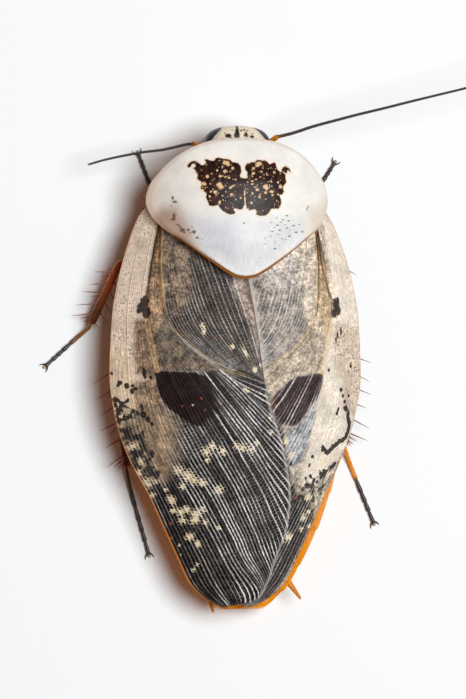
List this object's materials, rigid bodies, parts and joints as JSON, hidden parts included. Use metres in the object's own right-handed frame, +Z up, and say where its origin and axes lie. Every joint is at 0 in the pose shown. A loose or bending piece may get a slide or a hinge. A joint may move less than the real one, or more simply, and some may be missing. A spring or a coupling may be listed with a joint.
{
  "type": "cockroach specimen model",
  "caption": "Still life-size model of a winged adult porcelain cockroach standing on its feet, with patterned wing covers, a pale shield, feelers and spiny legs.",
  "frame": {"origin": "on the ground that the feet stand on, under the middle of the bounding box", "axes": "+Y from tail to head, +X to the animal's right, +Z up"},
  "size_m": [0.032, 0.036, 0.0079],
  "materials": {
    "porcelain_shell": "smooth waxy cream shell with a dark brown marking",
    "head_shell": "smooth cream shell with brown spots",
    "wing_cover": "thin leathery wing cover, veined, mottled cream, grey and dark brown",
    "abdomen_shell": "glossy translucent amber shell",
    "amber_shell": "glossy amber-brown shell",
    "tarsus": "satin dark brown shell",
    "flagellum": "matt dark brown, ringed",
    "eye": "glossy blue-black, finely faceted"
  },
  "bodies": {
    "root": {"head": "head_shell", "mouthparts": "amber_shell", "eye_left": "eye", "eye_right": "eye", "palp_left": "amber_shell", "palp_right": "amber_shell", "scape_left": "amber_shell", "scape_right": "amber_shell", "flagellum_left": "flagellum", "flagellum_right": "flagellum", "pronotum": "porcelain_shell", "prothorax": "amber_shell", "pterothorax": "amber_shell", "abdomen": "abdomen_shell", "cercus_left": "abdomen_shell", "cercus_right": "abdomen_shell", "tegmen_left": "wing_cover", "tegmen_right": "wing_cover", "foreleg_left_coxa": "amber_shell", "foreleg_left_femur": "amber_shell", "foreleg_left_tibia": "amber_shell", "foreleg_left_tarsus": "tarsus", "foreleg_right_coxa": "amber_shell", "foreleg_right_femur": "amber_shell", "foreleg_right_tibia": "amber_shell", "foreleg_right_tarsus": "tarsus", "midleg_left_coxa": "amber_shell", "midleg_left_femur": "amber_shell", "midleg_left_tibia": "amber_shell", "midleg_left_tarsus": "tarsus", "midleg_right_coxa": "amber_shell", "midleg_right_femur": "amber_shell", "midleg_right_tibia": "amber_shell", "midleg_right_tarsus": "tarsus", "hindleg_left_coxa": "amber_shell", "hindleg_left_femur": "amber_shell", "hindleg_left_tibia": "amber_shell", "hindleg_left_tarsus": "tarsus", "hindleg_right_coxa": "amber_shell", "hindleg_right_femur": "amber_shell", "hindleg_right_tibia": "amber_shell", "hindleg_right_tarsus": "tarsus"}
  },
  "joints": []
}
